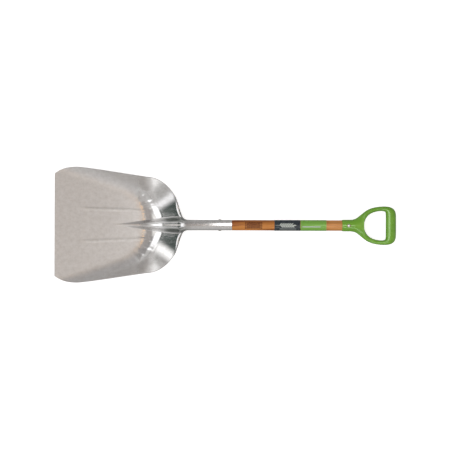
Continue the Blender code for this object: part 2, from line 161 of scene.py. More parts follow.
def attributeOf(tree, name):
    return node(tree, "ShaderNodeAttribute", attribute_name=name).outputs["Fac"]


def blendColour(tree, factor, a, b):
    made = node(tree, "ShaderNodeMix", data_type="RGBA")
    for key, value in ((0, factor), (6, a), (7, b)):
        if isinstance(value, bpy.types.NodeSocket):
            tree.links.new(value, made.inputs[key])
        elif key == 0:
            made.inputs[key].default_value = value
        else:
            made.inputs[key].default_value = (*value, 1.0)
    return made.outputs[2]


def placed(tree, source, scale=(1, 1, 1), turn=0.0, shift=(0, 0, 0)):
    return node(
        tree,
        "ShaderNodeMapping",
        {"Vector": source, "Scale": scale, "Rotation": (0, 0, turn), "Location": shift},
    ).outputs[0]


def speckle(tree, source, scale, detail=4.0, rough=0.55, twist=0.0):
    made = node(
        tree,
        "ShaderNodeTexNoise",
        {"Vector": source, "Scale": scale, "Detail": detail, "Roughness": rough, "Distortion": twist},
    )
    return made.outputs["Fac"]


def dress(tree, shader, colour, roughness, parts):  # parts: (height, strength, distance) of each bump
    tree.links.new(colour, shader.inputs["Base Color"])
    tree.links.new(roughness, shader.inputs["Roughness"])
    normal = None
    for height, strength, distance in parts:
        made = node(tree, "ShaderNodeBump", {"Height": height, "Strength": strength, "Distance": distance})
        if normal:
            tree.links.new(normal, made.inputs["Normal"])
        normal = made.outputs["Normal"]
    tree.links.new(normal, shader.inputs["Normal"])


def uvSource(tree):
    return node(tree, "ShaderNodeUVMap", uv_map="flat").outputs["UV"]


def objectSource(tree):
    return node(tree, "ShaderNodeTexCoord").outputs["Object"]


# finishes

def pressedAluminium():
    finish, tree, shader = newFinish("pressedAluminium", metallic=1.0)
    flat = uvSource(tree)
    worked = attributeOf(tree, "worked")
    millGrain = speckle(tree, placed(tree, flat, (35, 1500, 1)), 1.0, 3.0)  # rolled along the sheet
    broadGrain = speckle(tree, placed(tree, flat, (7, 160, 1)), 1.0, 4.0)
    cloud = speckle(tree, placed(tree, flat, (14, 14, 1)), 1.0, 6.0, 0.62, 0.6)
    haze = speckle(tree, placed(tree, flat, (70, 70, 1)), 1.0, 5.0, 0.7)
    scuffA = speckle(tree, placed(tree, flat, (9, 420, 1), 0.35), 1.0, 2.0)
    scuffB = speckle(tree, placed(tree, flat, (11, 520, 1), -0.5, (3, 7, 0)), 1.0, 2.0)
    scratches = sums(
        tree,
        "MAXIMUM",
        ramp(tree, scuffA, [(0.70, 0.0), (0.735, 1.0)]),
        ramp(tree, scuffB, [(0.71, 0.0), (0.74, 1.0)]),
    )
    bright = blendColour(tree, cloud, (0.78, 0.775, 0.77), (0.88, 0.875, 0.87))
    hazeAndPaintedDark = blendColour(tree, ramp(tree, haze, [(0.35, 0.0), (0.75, 1.0)]), bright, (0.70, 0.69, 0.675))
    # painted dark reflection: a dark grey-green laid into the colour beside the ridge, at the neck and along
    # the rim
    paintedDarkReflection = attributeOf(tree, "paintedDarkReflection")
    hazeAndPaintedDark = blendColour(tree, paintedDarkReflection, hazeAndPaintedDark, (0.12, 0.13, 0.12))
    tone = blendColour(tree, times(tree, scratches, 0.35), hazeAndPaintedDark, (0.92, 0.91, 0.90))
    matt = ramp(tree, broadGrain, [(0.3, 0.36), (0.7, 0.50)])
    polished = ramp(tree, broadGrain, [(0.3, 0.06), (0.7, 0.12)])
    rough = blendColour(tree, worked, matt, polished)
    rough = sums(tree, "ADD", rough, times(tree, sums(tree, "SUBTRACT", cloud, 0.5), 0.16))
    rough = sums(tree, "SUBTRACT", rough, times(tree, scratches, 0.10))
    calm = sums(tree, "SUBTRACT", 1.0, times(tree, worked, 0.85))
    bumps = [
        (broadGrain, times(tree, calm, 0.30), 0.0004),
        (millGrain, 0.25, 0.0001),
        (haze, times(tree, calm, 0.22), 0.0004),
        (scratches, 0.2, 0.0001),
    ]
    dress(tree, shader, tone, rough, bumps)
    return finish


def varnishedWood():
    finish, tree, shader = newFinish("varnishedWood")
    flat = uvSource(tree)
    # growth rings cut lengthwise: long wavy bands, a little different all round the shaft
    wander = speckle(tree, placed(tree, flat, (2.2, 26, 1)), 1.0, 3.0, 0.5, 0.4)
    bands = node(
        tree,
        "ShaderNodeTexWave",
        {
            "Vector": placed(tree, flat, (1.6, 62, 1)),
            "Scale": 1.0,
            "Distortion": 7.0,
            "Detail": 3.0,
            "Detail Scale": 0.9,
            "Detail Roughness": 0.6,
        },
        bands_direction="Y",
        wave_profile="SAW",
    ).outputs["Fac"]
    fibre = speckle(tree, placed(tree, flat, (24, 1900, 1)), 1.0, 4.0, 0.7)
    streak = speckle(tree, placed(tree, flat, (5, 330, 1)), 1.0, 4.0, 0.62, 0.2)
    pores = speckle(tree, placed(tree, flat, (60, 2400, 1)), 1.0, 2.0)
    pores = ramp(tree, pores, [(0.62, 0.0), (0.70, 1.0)])
    base = ramp(
        tree,
        bands,
        [
            (0.0, (0.13, 0.024, 0.003)),
            (0.45, (0.34, 0.078, 0.009)),
            (0.85, (0.74, 0.260, 0.040)),
            (1.0, (0.08, 0.014, 0.002)),
        ],
    )
    base = blendColour(tree, ramp(tree, streak, [(0.44, 0.0), (0.56, 1.0)]), base, (0.12, 0.022, 0.003))
    base = blendColour(tree, ramp(tree, wander, [(0.48, 0.0), (0.64, 0.80)]), base, (0.72, 0.29, 0.060))
    base = blendColour(tree, times(tree, fibre, 0.40), base, (0.17, 0.036, 0.006))
    base = blendColour(tree, times(tree, pores, 0.5), base, (0.06, 0.015, 0.004))
    # the stave is a paler cut towards the grip
    along = node(tree, "ShaderNodeSeparateXYZ", {0: flat}).outputs[0]
    base = blendColour(tree, ramp(tree, along, [(0.87, 0.0), (0.92, 0.42)]), base, (0.92, 0.46, 0.150))
    scorched = attributeOf(tree, "scorched")
    base = blendColour(tree, scorched, base, (0.050, 0.002, 0.0003))
    shader.inputs["Specular IOR Level"].default_value = 0.30
    shader.inputs["Coat Weight"].default_value = 0.08
    shader.inputs["Coat Roughness"].default_value = 0.22
    rough = ramp(tree, streak, [(0.3, 0.34), (0.7, 0.48)])
    bumps = [(streak, 0.20, 0.0003), (fibre, 0.25, 0.0001), (pores, 0.3, -0.0001)]
    dress(tree, shader, base, rough, bumps)
    return finish


def mouldedGreen():
    finish, tree, shader = newFinish("mouldedGreen")
    place = objectSource(tree)
    flow = speckle(tree, placed(tree, place, (9, 26, 26)), 1.0, 4.0, 0.55, 0.5)
    grain = speckle(tree, place, 900.0, 3.0, 0.6)
    rub = speckle(tree, placed(tree, place, (60, 25, 90)), 1.0, 6.0, 0.7)
    tone = blendColour(tree, flow, (0.104, 0.285, 0.012), (0.185, 0.425, 0.030))
    tone = blendColour(tree, ramp(tree, rub, [(0.60, 0.0), (0.72, 0.30)]), tone, (0.34, 0.60, 0.16))
    shader.inputs["Coat Weight"].default_value = 0.20
    shader.inputs["Coat Roughness"].default_value = 0.10
    parting = attributeOf(tree, "parting")
    rough = ramp(tree, rub, [(0.3, 0.20), (0.75, 0.34)])
    bumps = [(parting, 0.6, 0.0003), (flow, 0.15, 0.001), (grain, 0.18, 0.0001)]
    dress(tree, shader, tone, rough, bumps)
    return finish


def printedFilm(name, shade, wornShade, roughness):
    finish, tree, shader = newFinish(name)
    flat = uvSource(tree)
    ink = speckle(tree, placed(tree, flat, (90, 90, 1)), 1.0, 5.0, 0.6)
    creases = speckle(tree, placed(tree, flat, (18, 150, 1)), 1.0, 3.0, 0.6)
    scuffs = speckle(tree, placed(tree, flat, (500, 60, 1), 0.4), 1.0, 2.0)
    scuffs = ramp(tree, scuffs, [(0.66, 0.0), (0.72, 1.0)])
    tone = blendColour(tree, ink, shade, tuple(0.82 * c for c in shade))
    worn = attributeOf(tree, "worn")
    fade = sums(tree, "MAXIMUM", times(tree, scuffs, 0.30), times(tree, worn, ink))
    tone = blendColour(tree, fade, tone, wornShade)
    rough = ramp(tree, ink, [(0.3, roughness - 0.06), (0.7, roughness + 0.08)])
    dress(tree, shader, tone, rough, [(creases, 0.25, 0.0004), (ink, 0.10, 0.0001)])
    return finish


def paleInk():
    finish, tree, shader = newFinish("paleInk")
    place = objectSource(tree)
    thin = speckle(tree, place, 900.0, 4.0, 0.7)
    patchy = ramp(tree, thin, [(0.45, 0.0), (0.75, 1.0)])
    tone = blendColour(tree, patchy, (0.50, 0.55, 0.50), (0.30, 0.33, 0.31))
    rough = ramp(tree, thin, [(0.3, 0.38), (0.7, 0.55)])
    dress(tree, shader, tone, rough, [(thin, 0.2, 0.00005)])
    return finish


def rivetSteel():
    finish, tree, shader = newFinish("rivetSteel", metallic=1.0)
    place = objectSource(tree)
    patch = speckle(tree, place, 260.0, 5.0, 0.65)
    nicks = speckle(tree, placed(tree, place, (900, 900, 120)), 1.0, 3.0)
    nicks = ramp(tree, nicks, [(0.6, 0.0), (0.68, 1.0)])
    tone = blendColour(tree, patch, (0.42, 0.41, 0.39), (0.66, 0.65, 0.63))
    rough = ramp(tree, patch, [(0.3, 0.20), (0.7, 0.42)])
    dress(tree, shader, tone, rough, [(patch, 0.30, 0.0003), (nicks, 0.3, -0.0001)])
    return finish


print("finishes")
aluminium = pressedAluminium()
wood = varnishedWood()
green = mouldedGreen()
steel = rivetSteel()
darkFilm = printedFilm("darkFilm", (0.022, 0.032, 0.040), (0.16, 0.17, 0.18), 0.28)
greenFilm = printedFilm("greenFilm", (0.190, 0.430, 0.060), (0.42, 0.60, 0.28), 0.30)
ink = paleInk()


# scoop: one pressed sheet, worked out over a plan of rows along it and columns across it

pan = {
    "leadingHalf": 0.171,
    "widestHalf": 0.1925,
    "widestAt": 0.072,
    "shoulderHalf": 0.158,
    "shoulderAt": 0.318,
    "sideTaper": 0.135,
    "shoulderTurn": 0.094,
    "neckFillet": 0.040,
    "filletHalf": 0.068,
    "wingHalf": 0.033,
    "sheet": 0.0023,
    "lift": math.radians(18.0),
    "floorEnd": 0.290,
    "floorDepth": 0.072,
    "floorHalf": 0.1795,
    "floorTaper": 0.34,
    "floorCorner": 0.060,
    "backBend": 0.0887,
    "bendEarly": 0.016,  # the back bend starts this far ahead of the flat floor's end
    "sideBend": 0.050,
    "backSlope": math.radians(48.0),
    "sideSlope": math.radians(54.0),
    "cornerEase": math.radians(7.0),
    "neckBlend": 0.019,
    "wingSlope": 0.35,
    "ridgeTip": 0.185,
    "ridgeFull": 0.365,
    "ridgeHeight": 0.022,
    "ridgeHalf": 0.029,
    "ridgeLeast": 0.004,
    "ribStart": 0.078,
    "ribEnd": 0.325,
    "ribFade": 0.030,
    "ribFront": 0.055,
    "ribBack": 0.047,
    "ribHalf": 0.0078,
    "ribHeight": 0.0009,
    "gatherLength": 0.06,  # behind the ribs, the columns draw in to the ridge over this length
    "tubeRadius": 0.0176,
    "tubeLength": 0.138,
    "seam": 0.0016,
    "curlLength": 0.050,
    "puckers": 9,  # radial gathers round each back corner
    "puckerHeight": 0.0014,
    "puckerBearing": (math.radians(52), math.radians(40)),
    "puckerOut": (0.040, 0.048),
    "ripplePitch": 0.0190,  # short waves along the bend at the back
    "rippleHeight": 0.00028,
    "rippleOut": (0.012, 0.020),
    "wallSag": 0.0016,  # the back wall is hollowed a little more than a straight slope
    "sagAlong": (0.380, 0.046),  # pairs for bump: the middle and the reach to either side
    "edgeBevel": 0.0006,
    "rows": (34, 56, 46, 40, 22),  # down the corner, side, shoulder, fillet and tube
    "ridgeColumns": 24,
    "ribColumns": 10,
    "wallColumns": 34,
}
polishAndPaintedDark = {  # where the dies polished the sheet, and where a dark reflection is painted into its colour, metres from the leading edge
    "bentAlong": (0.255, 0.300),
    "bentFull": 0.03,  # out past the flat floor
    "crestAlong": (0.24, 0.32),
    "tubeDulling": 0.42,
    "tubeFade": 0.06,
    # how strong the painted dark reflection is, and where: beside the ridge, at the neck and along the rim
    "flankPaintedDark": 1.1,
    "flankAcross": (0.62, 0.60),  # as parts of the ridge's half width
    "flankAlong": (0.388, 0.062),
    "neckPaintedDark": 0.26,
    "neckAlong": (0.428, 0.036),
    "rimAlong": (0.425, 0.046),
    "rimInset": (0.015, 0.005),
}
filletAt = pan["shoulderAt"] + pan["shoulderTurn"]
neckAt = filletAt + pan["neckFillet"]
socketEnd = neckAt + pan["tubeLength"]


def bezier(points, t):
    a, b, c, d = (np.array(p, float) for p in points)
    u = 1 - t
    return a * u**3 + b * 3 * u * u * t + c * 3 * u * t * t + d * t**3


def panRows():  # x and half width of every row, leading edge to socket end
    side = np.array((1, -pan["sideTaper"])) / math.hypot(1, pan["sideTaper"])
    ahead = np.array((1.0, 0.0))
    steep = np.array((1, -3)) / math.hypot(1, 3)
    rise = np.array((1, 0.83)) / math.hypot(1, 0.83)
    corner = np.array((0, pan["leadingHalf"]))
    widest = np.array((pan["widestAt"], pan["widestHalf"]))
    shoulder = np.array((pan["shoulderAt"], pan["shoulderHalf"]))
    fillet = np.array((filletAt, pan["filletHalf"]))
    neck = np.array((neckAt, pan["wingHalf"]))
    reach = pan["shoulderAt"] - pan["widestAt"]
    turn, run = pan["shoulderTurn"], pan["neckFillet"]
    curves = [
        (corner, corner + rise * pan["widestAt"] * 0.28, widest - ahead * pan["widestAt"] * 0.52, widest),
        (widest, widest + ahead * reach * 0.1, shoulder - side * reach * 0.4, shoulder),
        (shoulder, shoulder + side * turn * 0.48, fillet - steep * turn * 0.44, fillet),
        (fillet, fillet + steep * run * 0.55, neck - ahead * run * 0.45, neck),
    ]
    rows = [bezier(curve, i / steps) for curve, steps in zip(curves, pan["rows"]) for i in range(steps)]
    tubeSteps = pan["rows"][4]
    rows += [(mix(neckAt, socketEnd, i / tubeSteps), pan["wingHalf"]) for i in range(tubeSteps + 1)]
    return rows


def softLeast(a, b, reach):
    t = np.maximum(0.0, reach - np.abs(a - b)) / reach
    return np.minimum(a, b) - t * t * reach / 4


def ridgeHalfAt(x):
    return mix(pan["ridgeLeast"], pan["ridgeHalf"], smoothStep(pan["ridgeTip"], filletAt, x))


def ribPlaceAt(x):
    t = np.clip((x - pan["ribStart"]) / (pan["ribEnd"] - pan["ribStart"]), 0.0, 1.0)
    return mix(pan["ribFront"], pan["ribBack"], t)


def wallParts(x, y):  # distance out past the flat floor, share of side wall, bearing from the back
    squareOn = 1 / math.hypot(1, pan["floorTaper"])
    side = (np.abs(y) - (pan["floorHalf"] - pan["floorTaper"] * x)) * squareOn + pan["floorCorner"]
    back = x - pan["floorEnd"] + pan["bendEarly"] + pan["floorCorner"]
    side, back = np.maximum(side, 0.0), np.maximum(back, 0.0)
    reach = np.hypot(side, back) + 1e-9
    return reach - pan["floorCorner"], (side / reach) ** 2, np.arctan2(side, back + 1e-9)


def wallRise(out, sideways):
    slope = mix(pan["backSlope"], pan["sideSlope"], sideways)
    slope = slope - pan["cornerEase"] * 4 * sideways * (1 - sideways)
    bend = mix(pan["backBend"], pan["sideBend"], sideways)
    radius = bend / np.sin(slope)
    within = radius - np.sqrt(np.maximum(radius * radius - np.minimum(np.maximum(out, 0), bend) ** 2, 0))
    beyond = bend * np.tan(slope / 2) + (out - bend) * np.tan(slope)
    return np.where(out <= 0, 0.0, np.where(out < bend, within, beyond))


def puckerWaves(out, bearing):  # gathers left where the flat sheet was drawn in round the corners
    waves = np.sin(bearing * 2 * pan["puckers"] * 2 + 1.3 * np.sin(bearing * 5)) * 0.6
    waves += 0.4 * np.sin(bearing * 2 * pan["puckers"] * 3.7 + 0.7)
    onCorner = bump(*pan["puckerBearing"], bearing)
    return pan["puckerHeight"] * waves * onCorner * bump(*pan["puckerOut"], out)


def bendRipple(y, out, bearing):
    phase = 2 * math.pi * np.abs(y) / pan["ripplePitch"]
    waves = np.sin(phase + 0.9 * np.sin(phase * 0.37 + np.where(y > 0, 0.0, 1.9)))
    fade = 1 - smoothStep(0.35, 0.8, bearing)
    return pan["rippleHeight"] * waves * bump(*pan["rippleOut"], out) * fade


def panHeight(x, y):
    out, sideways, bearing = wallParts(x, y)
    height = -pan["floorDepth"] + (pan["floorEnd"] - x) * math.tan(pan["lift"]) + wallRise(out, sideways)
    height = height + puckerWaves(out, bearing) + bendRipple(y, out, bearing)
    height = height - pan["wallSag"] * bump(*pan["sagAlong"], x) * (1 - sideways)
    neckLevel = pan["tubeRadius"] - pan["ridgeHeight"]
    neckLevel = neckLevel + pan["wingSlope"] * np.maximum(0.0, np.abs(y) - pan["ridgeHalf"])
    height = np.where(x > pan["floorEnd"], softLeast(height, neckLevel, pan["neckBlend"]), height)
    across = np.abs(y) / ridgeHalfAt(x)
    full = smoothStep(pan["ridgeTip"], pan["ridgeFull"], x) ** 1.3
    height = height + pan["ridgeHeight"] * full * np.where(across < 1, np.abs(1 - across * across) ** 1.5, 0)
    rib = np.abs(np.abs(y) - ribPlaceAt(x)) / pan["ribHalf"]
    fade = smoothStep(pan["ribStart"], pan["ribStart"] + pan["ribFade"], x)
    fade = fade * (1 - smoothStep(pan["ribEnd"] - pan["ribFade"], pan["ribEnd"], x))
    return height + pan["ribHeight"] * fade * np.where(rib < 1, (1 - rib * rib) ** 2, 0)


def columnPlaces(x, half):
    gather = float(smoothStep(pan["ribEnd"], pan["ribEnd"] + pan["gatherLength"], x))
    ridge = min(float(ridgeHalfAt(x)) + 0.012 * (1 - gather), half * 0.6)
    rib = mix(float(ribPlaceAt(x)), mix(ridge, half, 0.35), gather)
    spread = mix(pan["ribHalf"] * 1.2, (half - ridge) * 0.09, gather)
    a = pan["ridgeColumns"]
    b = a + pan["ribColumns"]
    c = b + pan["ribColumns"]
    d = c + pan["wallColumns"]
    return np.interp(np.arange(d + 1), (0, a, b, c, d), (0, ridge, rib - spread, rib + spread, half))


def tubeAngles():
    last = pan["ridgeColumns"] + 2 * pan["ribColumns"] + pan["wallColumns"]
    edge = math.pi - pan["seam"] / 2 / pan["tubeRadius"]
    return np.interp(np.arange(last + 1), (0, pan["ridgeColumns"], last), (0, math.radians(100), edge))


def sheetRows():
    angles = tubeAngles()
    for x, half in panRows():
        places = columnPlaces(x, half)
        heights = panHeight(np.full_like(places, x), places)
        curl = float(smoothStep(neckAt - pan["curlLength"], neckAt, x))
        worked, paintedDarkReflection = workedAt(x, places), paintedDarkReflectionAt(x, places)
        if curl > 0:  # the edges swing under round the shaft's axis and close to the tube
            turned = mix(np.arctan2(places, heights), angles, curl)
            distance = mix(np.hypot(places, heights), pan["tubeRadius"], curl**1.3)
            places, heights = distance * np.sin(turned), distance * np.cos(turned)
        yield x, places, heights, worked, paintedDarkReflection


def workedAt(x, places):  # how far the presses and dies have brightened the sheet
    out = wallParts(np.full_like(places, x), places)[0]
    bent = smoothStep(0.0, polishAndPaintedDark["bentFull"], out) * smoothStep(*polishAndPaintedDark["bentAlong"], x)
    tube = smoothStep(neckAt - polishAndPaintedDark["tubeFade"], neckAt, x)
    crest = bump(0.0, 1.0, np.abs(places) / ridgeHalfAt(x)) * smoothStep(*polishAndPaintedDark["crestAlong"], x)
    return np.clip(np.maximum(bent, crest), 0, 1) * (1 - polishAndPaintedDark["tubeDulling"] * tube)


def paintedDarkReflectionAt(x, places):  # painted dark reflection beside the ridge, at the neck and along the rim next to it
    flanks = polishAndPaintedDark["flankPaintedDark"] * bump(*polishAndPaintedDark["flankAcross"], np.abs(places) / ridgeHalfAt(x))
    flanks = flanks * bump(*polishAndPaintedDark["flankAlong"], x)
    neck = np.full_like(places, polishAndPaintedDark["neckPaintedDark"] * bump(*polishAndPaintedDark["neckAlong"], x))
    low, high = (places.max() - inset for inset in polishAndPaintedDark["rimInset"])
    rim = smoothStep(low, high, np.abs(places)) * bump(*polishAndPaintedDark["rimAlong"], x)
    return np.clip(flanks + neck + rim, 0, 1)


def makeScoop():
    right = list(sheetRows())
    rows = len(right)
    columns = 2 * len(right[0][1]) - 1
    points, flat, worked, paintedDarkReflection = [], [], [], []
    for x, places, heights, polish, darkReflectionShare in right:
        steps = np.hypot(np.diff(places), np.diff(heights))
        across = np.concatenate([[0], np.cumsum(steps)])
        for sign, part in ((-1, slice(None, 0, -1)), (1, slice(None))):
            points += [(x, sign * p, h) for p, h in zip(places[part], heights[part])]
            flat += [(x, sign * a) for a in across[part]]
            worked += list(polish[part])
            paintedDarkReflection += list(darkReflectionShare[part])
    bm = bmesh.new()
    bmesh.ops.create_grid(bm, x_segments=columns - 1, y_segments=rows - 1, size=1)
    bm.verts.ensure_lookup_table()
    uv = bm.loops.layers.uv.new("flat")
    shineLayer = bm.verts.layers.float.new("worked")
    # the mask of the dark reflection that is painted into the aluminium's colour
    darkReflectionLayer = bm.verts.layers.float.new("paintedDarkReflection")
    for i, vert in enumerate(bm.verts):
        vert.co = points[i]
        vert[shineLayer] = float(worked[i])
        vert[darkReflectionLayer] = float(paintedDarkReflection[i])
    bm.verts.index_update()
    for face in bm.faces:
        for loop in face.loops:
            loop[uv].uv = flat[loop.vert.index]
    bmesh.ops.recalc_face_normals(bm, faces=bm.faces)
    if sum(face.normal.z * face.calc_area() for face in bm.faces) < 0:
        bmesh.ops.reverse_faces(bm, faces=bm.faces)
    mesh = meshFrom(bm, "scoop")
    mesh.shade_smooth()
    scoop = addObject("scoop", mesh, aluminium)
    shell = scoop.modifiers.new("sheet", "SOLIDIFY")
    shell.thickness = pan["sheet"]
    shell.offset = -1
    shell.use_even_offset = True
    edge = scoop.modifiers.new("trimmed edge", "BEVEL")
    edge.width = pan["edgeBevel"]
    edge.segments = 2
    edge.limit_method = "ANGLE"
    edge.angle_limit = math.radians(60)
    edge.harden_normals = True
    settle(scoop, "scoop_blade", "aluminium")


print("scoop")
makeScoop()


# turned and wrapped pieces along the shaft

def turnedPiece(name, profile, finish, around, sway=None, paint=None, joined=False):
    # profile runs towards the grip; uv is metres along and metres round, split underneath
    bm = bmesh.new()
    uv = bm.loops.layers.uv.new("flat")
    layers = {key: bm.verts.layers.float.new(key) for key in (paint or {})}
    rings = []
    for x, radius in profile:
        ring = []
        for k in range(around):
            angle = 2 * math.pi * k / around - math.pi
            r = radius + (sway(x, angle) if sway else 0.0)
            vert = bm.verts.new((x, r * math.sin(angle), r * math.cos(angle)))
            for key, layer in layers.items():
                vert[layer] = paint[key](x, angle)
            ring.append(vert)
        rings.append(ring)
    if joined:
        rings.append(rings[0])
    for ring, following in zip(rings, rings[1:]):
        for k in range(around):
            n = (k + 1) % around
            face = bm.faces.new((ring[k], ring[n], following[n], following[k]))
            turns = (k, k + 1, k + 1, k)
            for loop, turn in zip(face.loops, turns):
                radius = math.hypot(loop.vert.co.y, loop.vert.co.z)
                loop[uv].uv = (loop.vert.co.x, (turn / around - 0.5) * 2 * math.pi * radius)
    if not joined:
        bm.faces.new(rings[0][::-1])
        bm.faces.new(rings[-1])
    bmesh.ops.recalc_face_normals(bm, faces=bm.faces)
    mesh = meshFrom(bm, name)
    mesh.shade_smooth()
    mesh.set_sharp_from_angle(angle=math.radians(40))
    return addObject(name, mesh, finish)


shaft = {
    "radius": 0.0175,
    "bare": 0.368,
    "tenonClearance": 0.0006,
    "tenonInset": 0.006,
    "boreDepth": 0.036,
    "gap": 0.0003,
    "waviness": 0.00012,
    "chamfer": 0.001,
    "tenonChamfer": 0.003,
    "steps": 260,
    "scorchFrom": 0.044,  # from the socket's end
    "scorchLength": 0.057,
    "scorchHalfTurn": 0.75,  # radians either side of the top
    "hatchPitch": 0.0090,
    "hatchLeast": 0.68,  # how strong the scorch is between the hatch lines
}
gripMouth = socketEnd + shaft["bare"]


def makeShaft():
    tenon = pan["tubeRadius"] - pan["sheet"] - shaft["tenonClearance"]
    start = neckAt + shaft["tenonInset"]
    shoulder = socketEnd + shaft["gap"]
    end = gripMouth + shaft["boreDepth"] - shaft["gap"]
    radius, chamfer, tip = shaft["radius"], shaft["chamfer"], shaft["tenonChamfer"]
    profile = [(start, tenon - tip), (start + tip, tenon), (shoulder, tenon), (shoulder, radius - chamfer)]
    profile += [(shoulder + 0.4 * chamfer, radius - 0.4 * chamfer), (shoulder + chamfer, radius)]
    straight = np.linspace(shoulder + chamfer, end - chamfer, shaft["steps"] + 1)[1:]
    profile += [(float(x), radius) for x in straight]
    profile.append((end, radius - chamfer))
    scorchMiddle = socketEnd + shaft["scorchFrom"] + shaft["scorchLength"] / 2

    def sway(x, angle):  # a sanded stick is never quite round
        if x < shoulder:
            return 0.0
        soft = noise.noise(Vector((x * 9, math.sin(angle) * 0.8, math.cos(angle) * 0.8)))
        return shaft["waviness"] * (soft - 0.6)

    def scorched(x, angle):
        along = (x - scorchMiddle) / (shaft["scorchLength"] / 2)
        aside = angle / shaft["scorchHalfTurn"]
        if max(abs(along), abs(aside)) > 1.08:
            return 0.0
        side = angle * radius
        hatch = max(
            math.cos((x + side) / shaft["hatchPitch"] * 2 * math.pi),
            math.cos((x - side) / shaft["hatchPitch"] * 2 * math.pi),
        )
        lines = mix(shaft["hatchLeast"], 1.0, min(1.0, max(0.0, (hatch - 0.2) / 0.5)))
        border = 1.0 if 0.9 < max(abs(along), abs(aside)) < 1.0 else 0.0
        inside = 1.0 if max(abs(along), abs(aside)) < 0.86 else 0.0
        rough = 0.75 + 0.35 * noise.noise(Vector((x * 260, side * 260, 0)))
        return max(border, inside * lines) * rough

    piece = turnedPiece("shaft", profile, wood, 112, sway, {"scorched": scorched})
    settle(piece, "handle_shaft", "hardwood")


labels = {
    "darkFrom": 0.142,  # from the socket's end
    "length": 0.086,
    "space": 0.0012,
    "film": 0.0003,
    "overlap": 0.00014,  # how far the film's end stands up where it laps itself, underneath
    "lapHalf": 0.12,  # radians
    "edgeRound": 0.00012,
    "wrinkle": 0.00005,
    "edgeLift": 0.00006,
    "liftReach": 0.004,
    "edgeWear": 0.8,
    "wearReach": 0.003,
    "inkFilm": 0.00004,
    "earFrom": 0.018,
    "steps": 44,
}


def makeLabel(name, start, finish, replaced, slotName):
    inner = shaft["radius"] + shaft["gap"]
    outer = inner + labels["film"]
    end = start + labels["length"]
    edge, steps = labels["edgeRound"], labels["steps"]
    profile = [(start, inner), (start, outer - edge)]
    profile += [(mix(start + edge, end - edge, i / steps), outer) for i in range(steps + 1)]
    profile += [(end, outer - edge), (end, inner)]

    def sway(x, angle):
        lap = labels["overlap"] * float(bump(math.pi - labels["lapHalf"], labels["lapHalf"], abs(angle)))
        wrinkle = labels["wrinkle"] * noise.noise(Vector((x * 60, angle * 2.0, 3.1)))
        nearEdge = min(x - start, end - x)
        lift = labels["edgeLift"] * math.exp(-nearEdge / labels["liftReach"])
        lift *= 1 + noise.noise(Vector((angle * 3, x * 5, 0)))
        return (lap + wrinkle + lift) * (1.0 if x not in (start, end) else 0.2)

    def worn(x, angle):
        nearEdge = min(x - start, end - x)
        ragged = 0.5 + 0.5 * noise.noise(Vector((x * 150, angle * 4, 1.7)))
        return max(0.0, 1 - nearEdge / labels["wearReach"]) * ragged * labels["edgeWear"]

    piece = turnedPiece(name, profile, finish, 128, sway, {"worn": worn}, joined=True)
    settle(piece, replaced, slotName)


print("shaft and labels")
makeShaft()
darkStart = socketEnd + labels["darkFrom"]
greenStart = darkStart + labels["length"] + labels["space"]
makeLabel("darkLabel", darkStart, darkFilm, "dark_label", "dark_label_film")
makeLabel("greenLabel", greenStart, greenFilm, "green_label", "green_label_film")


# node trees that lay out repeated parts

def startTree(name, sizes):
    tree = bpy.data.node_groups.new(name, "GeometryNodeTree")
    tree.interface.new_socket("Geometry", in_out="INPUT", socket_type="NodeSocketGeometry")
    for key, value in sizes.items():
        kind = "NodeSocketInt" if isinstance(value, int) else "NodeSocketFloat"
        tree.interface.new_socket(key, in_out="INPUT", socket_type=kind).default_value = value
    tree.interface.new_socket("Geometry", in_out="OUTPUT", socket_type="NodeSocketGeometry")
    return tree, tree.nodes.new("NodeGroupInput").outputs, tree.nodes.new("NodeGroupOutput")


def endTree(tree, output, geometry, finish):
    real = node(tree, "GeometryNodeRealizeInstances", {"Geometry": geometry}).outputs[0]
    dressed = node(tree, "GeometryNodeSetMaterial", {"Geometry": real, "Material": finish}).outputs[0]
    tree.links.new(dressed, output.inputs[0])


def growPiece(name, tree, sizes):  # run the tree once and keep the result as a plain mesh
    holder = addObject(name, bpy.data.meshes.new(name + "Start"))
    grown = holder.modifiers.new("layout", "NODES")
    grown.node_group = tree
    for item in tree.interface.items_tree:
        if item.in_out == "INPUT" and item.name in sizes:
            grown[item.identifier] = sizes[item.name]
    mesh = baked(holder)
    holder.modifiers.clear()
    holder.data = mesh
    mesh.name = name
    return holder


def vectorOf(tree, x=0.0, y=0.0, z=0.0):
    return node(tree, "ShaderNodeCombineXYZ", {0: x, 1: y, 2: z}).outputs[0]


rivet = {
    "Shank Radius": 0.0030,
    "Head Radius": 0.0052,
    "Head Height": 0.0026,
    "Head Rim": 0.0009,
    "Reach": 0.0180,
}
rivetReach = {"socket": pan["tubeRadius"] - 0.0001, "grip": 0.0178}  # a head's seat from the shaft's axis


